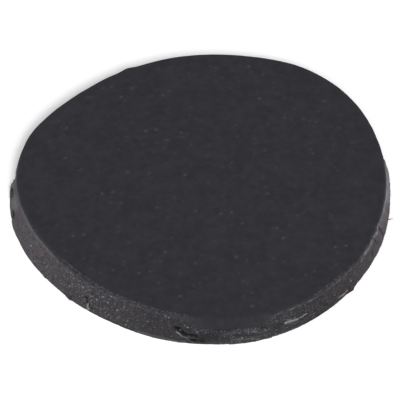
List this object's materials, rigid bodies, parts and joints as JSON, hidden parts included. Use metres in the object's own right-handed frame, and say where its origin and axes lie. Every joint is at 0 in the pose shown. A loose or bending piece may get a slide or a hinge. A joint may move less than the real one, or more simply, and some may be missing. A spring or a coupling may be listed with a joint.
{
  "type": "adhesive rubber pad",
  "caption": "Flat black rubber disc cut by hand from sheet, with a slightly flared, rough cut edge. Its underside sticks to a door, drawer or foot to cushion and grip.",
  "frame": {"origin": "middle of the sticky underside, on its plane", "axes": "+Z out of the underside through the pad's thickness to the bearing face; +X to the right of the picture's view and +Y away from it"},
  "size_m": [0.0306, 0.0301, 0.002],
  "materials": {
    "rubber": "matte"
  },
  "bodies": {
    "root": {"rubber_pad": "rubber"}
  },
  "joints": []
}
